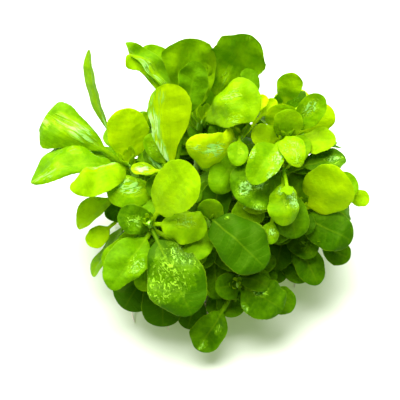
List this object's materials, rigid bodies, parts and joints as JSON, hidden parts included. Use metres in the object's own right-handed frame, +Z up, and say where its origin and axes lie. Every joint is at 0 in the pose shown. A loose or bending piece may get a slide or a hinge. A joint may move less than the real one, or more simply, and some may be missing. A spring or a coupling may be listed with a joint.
{
  "type": "cardinal flower plant clump",
  "caption": "Round bushy clump of young bright green spoon-shaped leaves on short leafy shoots that rise from a flat mat of pale roots, resting on its roots.",
  "frame": {"origin": "middle of the flat underside of the root mat, on the surface that the clump rests on", "axes": "+Z up, -Y towards the side that faces the viewer in the picture, +X to the viewer's right"},
  "size_m": [0.0952, 0.0836, 0.0616],
  "materials": {
    "leaf_lime": "thin moist leaf, bright lime green, lit through",
    "leaf_green": "thin moist leaf, mid green, wet gloss",
    "leaf_deep": "thin moist leaf, deep green, satin",
    "shoot": "juicy yellow green stems with small leaves",
    "roots": "matted fine pale roots, moist"
  },
  "bodies": {
    "root": {"root_mat": "roots", "shoot_front_left": "shoot", "shoot_left": "shoot", "shoot_crest": "shoot", "shoot_top": "shoot", "shoot_top_back": "shoot", "shoot_right_top": "shoot", "shoot_middle": "shoot", "shoot_right": "shoot", "shoot_front": "shoot", "shoot_front_low": "shoot", "shoot_back_left": "shoot", "shoot_back_right": "shoot", "shoot_back": "shoot", "leaf_front_2": "leaf_lime", "leaf_front_3": "leaf_lime", "leaf_left_1": "leaf_lime", "leaf_right_1": "leaf_lime", "leaf_top_1": "leaf_lime", "leaf_crest_1": "leaf_lime", "leaf_left_2": "leaf_lime", "leaf_left_3": "leaf_lime", "leaf_top_2": "leaf_lime", "leaf_middle_5": "leaf_lime", "leaf_back_5": "leaf_lime", "leaf_right_3": "leaf_lime", "leaf_top_4": "leaf_lime", "leaf_left_6": "leaf_lime", "leaf_far_6": "leaf_lime", "leaf_far_10": "leaf_lime", "leaf_front_1": "leaf_green", "leaf_left_4": "leaf_green", "leaf_middle_1": "leaf_green", "leaf_middle_2": "leaf_green", "leaf_middle_3": "leaf_green", "leaf_top_3": "leaf_green", "leaf_front_5": "leaf_green", "leaf_left_5": "leaf_green", "leaf_back_1": "leaf_green", "leaf_back_4": "leaf_green", "leaf_right_2": "leaf_green", "leaf_top_5": "leaf_green", "leaf_low_1": "leaf_green", "leaf_low_2": "leaf_green", "leaf_left_7": "leaf_green", "leaf_far_1": "leaf_green", "leaf_far_3": "leaf_green", "leaf_far_5": "leaf_green", "leaf_far_7": "leaf_green", "leaf_far_9": "leaf_green", "leaf_front_4": "leaf_deep", "leaf_middle_4": "leaf_deep", "leaf_back_2": "leaf_deep", "leaf_back_3": "leaf_deep", "leaf_right_4": "leaf_deep", "leaf_right_5": "leaf_deep", "leaf_low_3": "leaf_deep", "leaf_far_2": "leaf_deep", "leaf_far_4": "leaf_deep", "leaf_far_8": "leaf_deep"}
  },
  "joints": []
}
